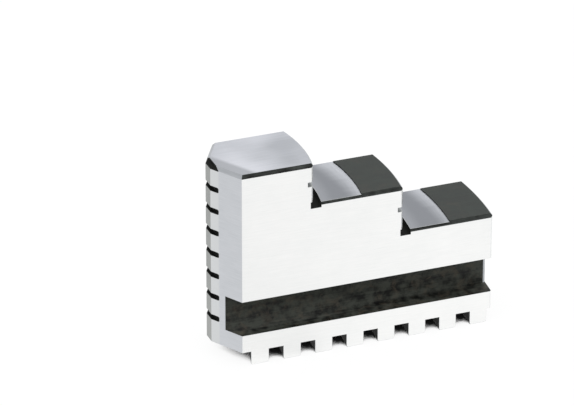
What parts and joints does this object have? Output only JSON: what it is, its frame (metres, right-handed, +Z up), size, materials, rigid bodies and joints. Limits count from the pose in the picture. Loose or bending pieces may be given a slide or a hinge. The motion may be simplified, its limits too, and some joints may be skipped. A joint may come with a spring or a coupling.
{
  "type": "hard stepped scroll chuck jaw",
  "caption": "One-piece hardened jaw of a scroll chuck: a grooved nose, descending steps, side guide grooves and curved scroll teeth underneath.",
  "frame": {"origin": "under the middle of the jaw's length, on its middle plane, at the tips of the scroll teeth", "axes": "+X along the jaw away from the chuck's centre, +Y across it, +Z up from the scroll towards the steps"},
  "size_m": [0.0772, 0.022, 0.0561],
  "materials": {
    "hardened_steel": "ground faces, black oxide in the grooves and on the outer part of each tread"
  },
  "bodies": {
    "root": {"jaw_body": "hardened_steel"}
  },
  "joints": []
}
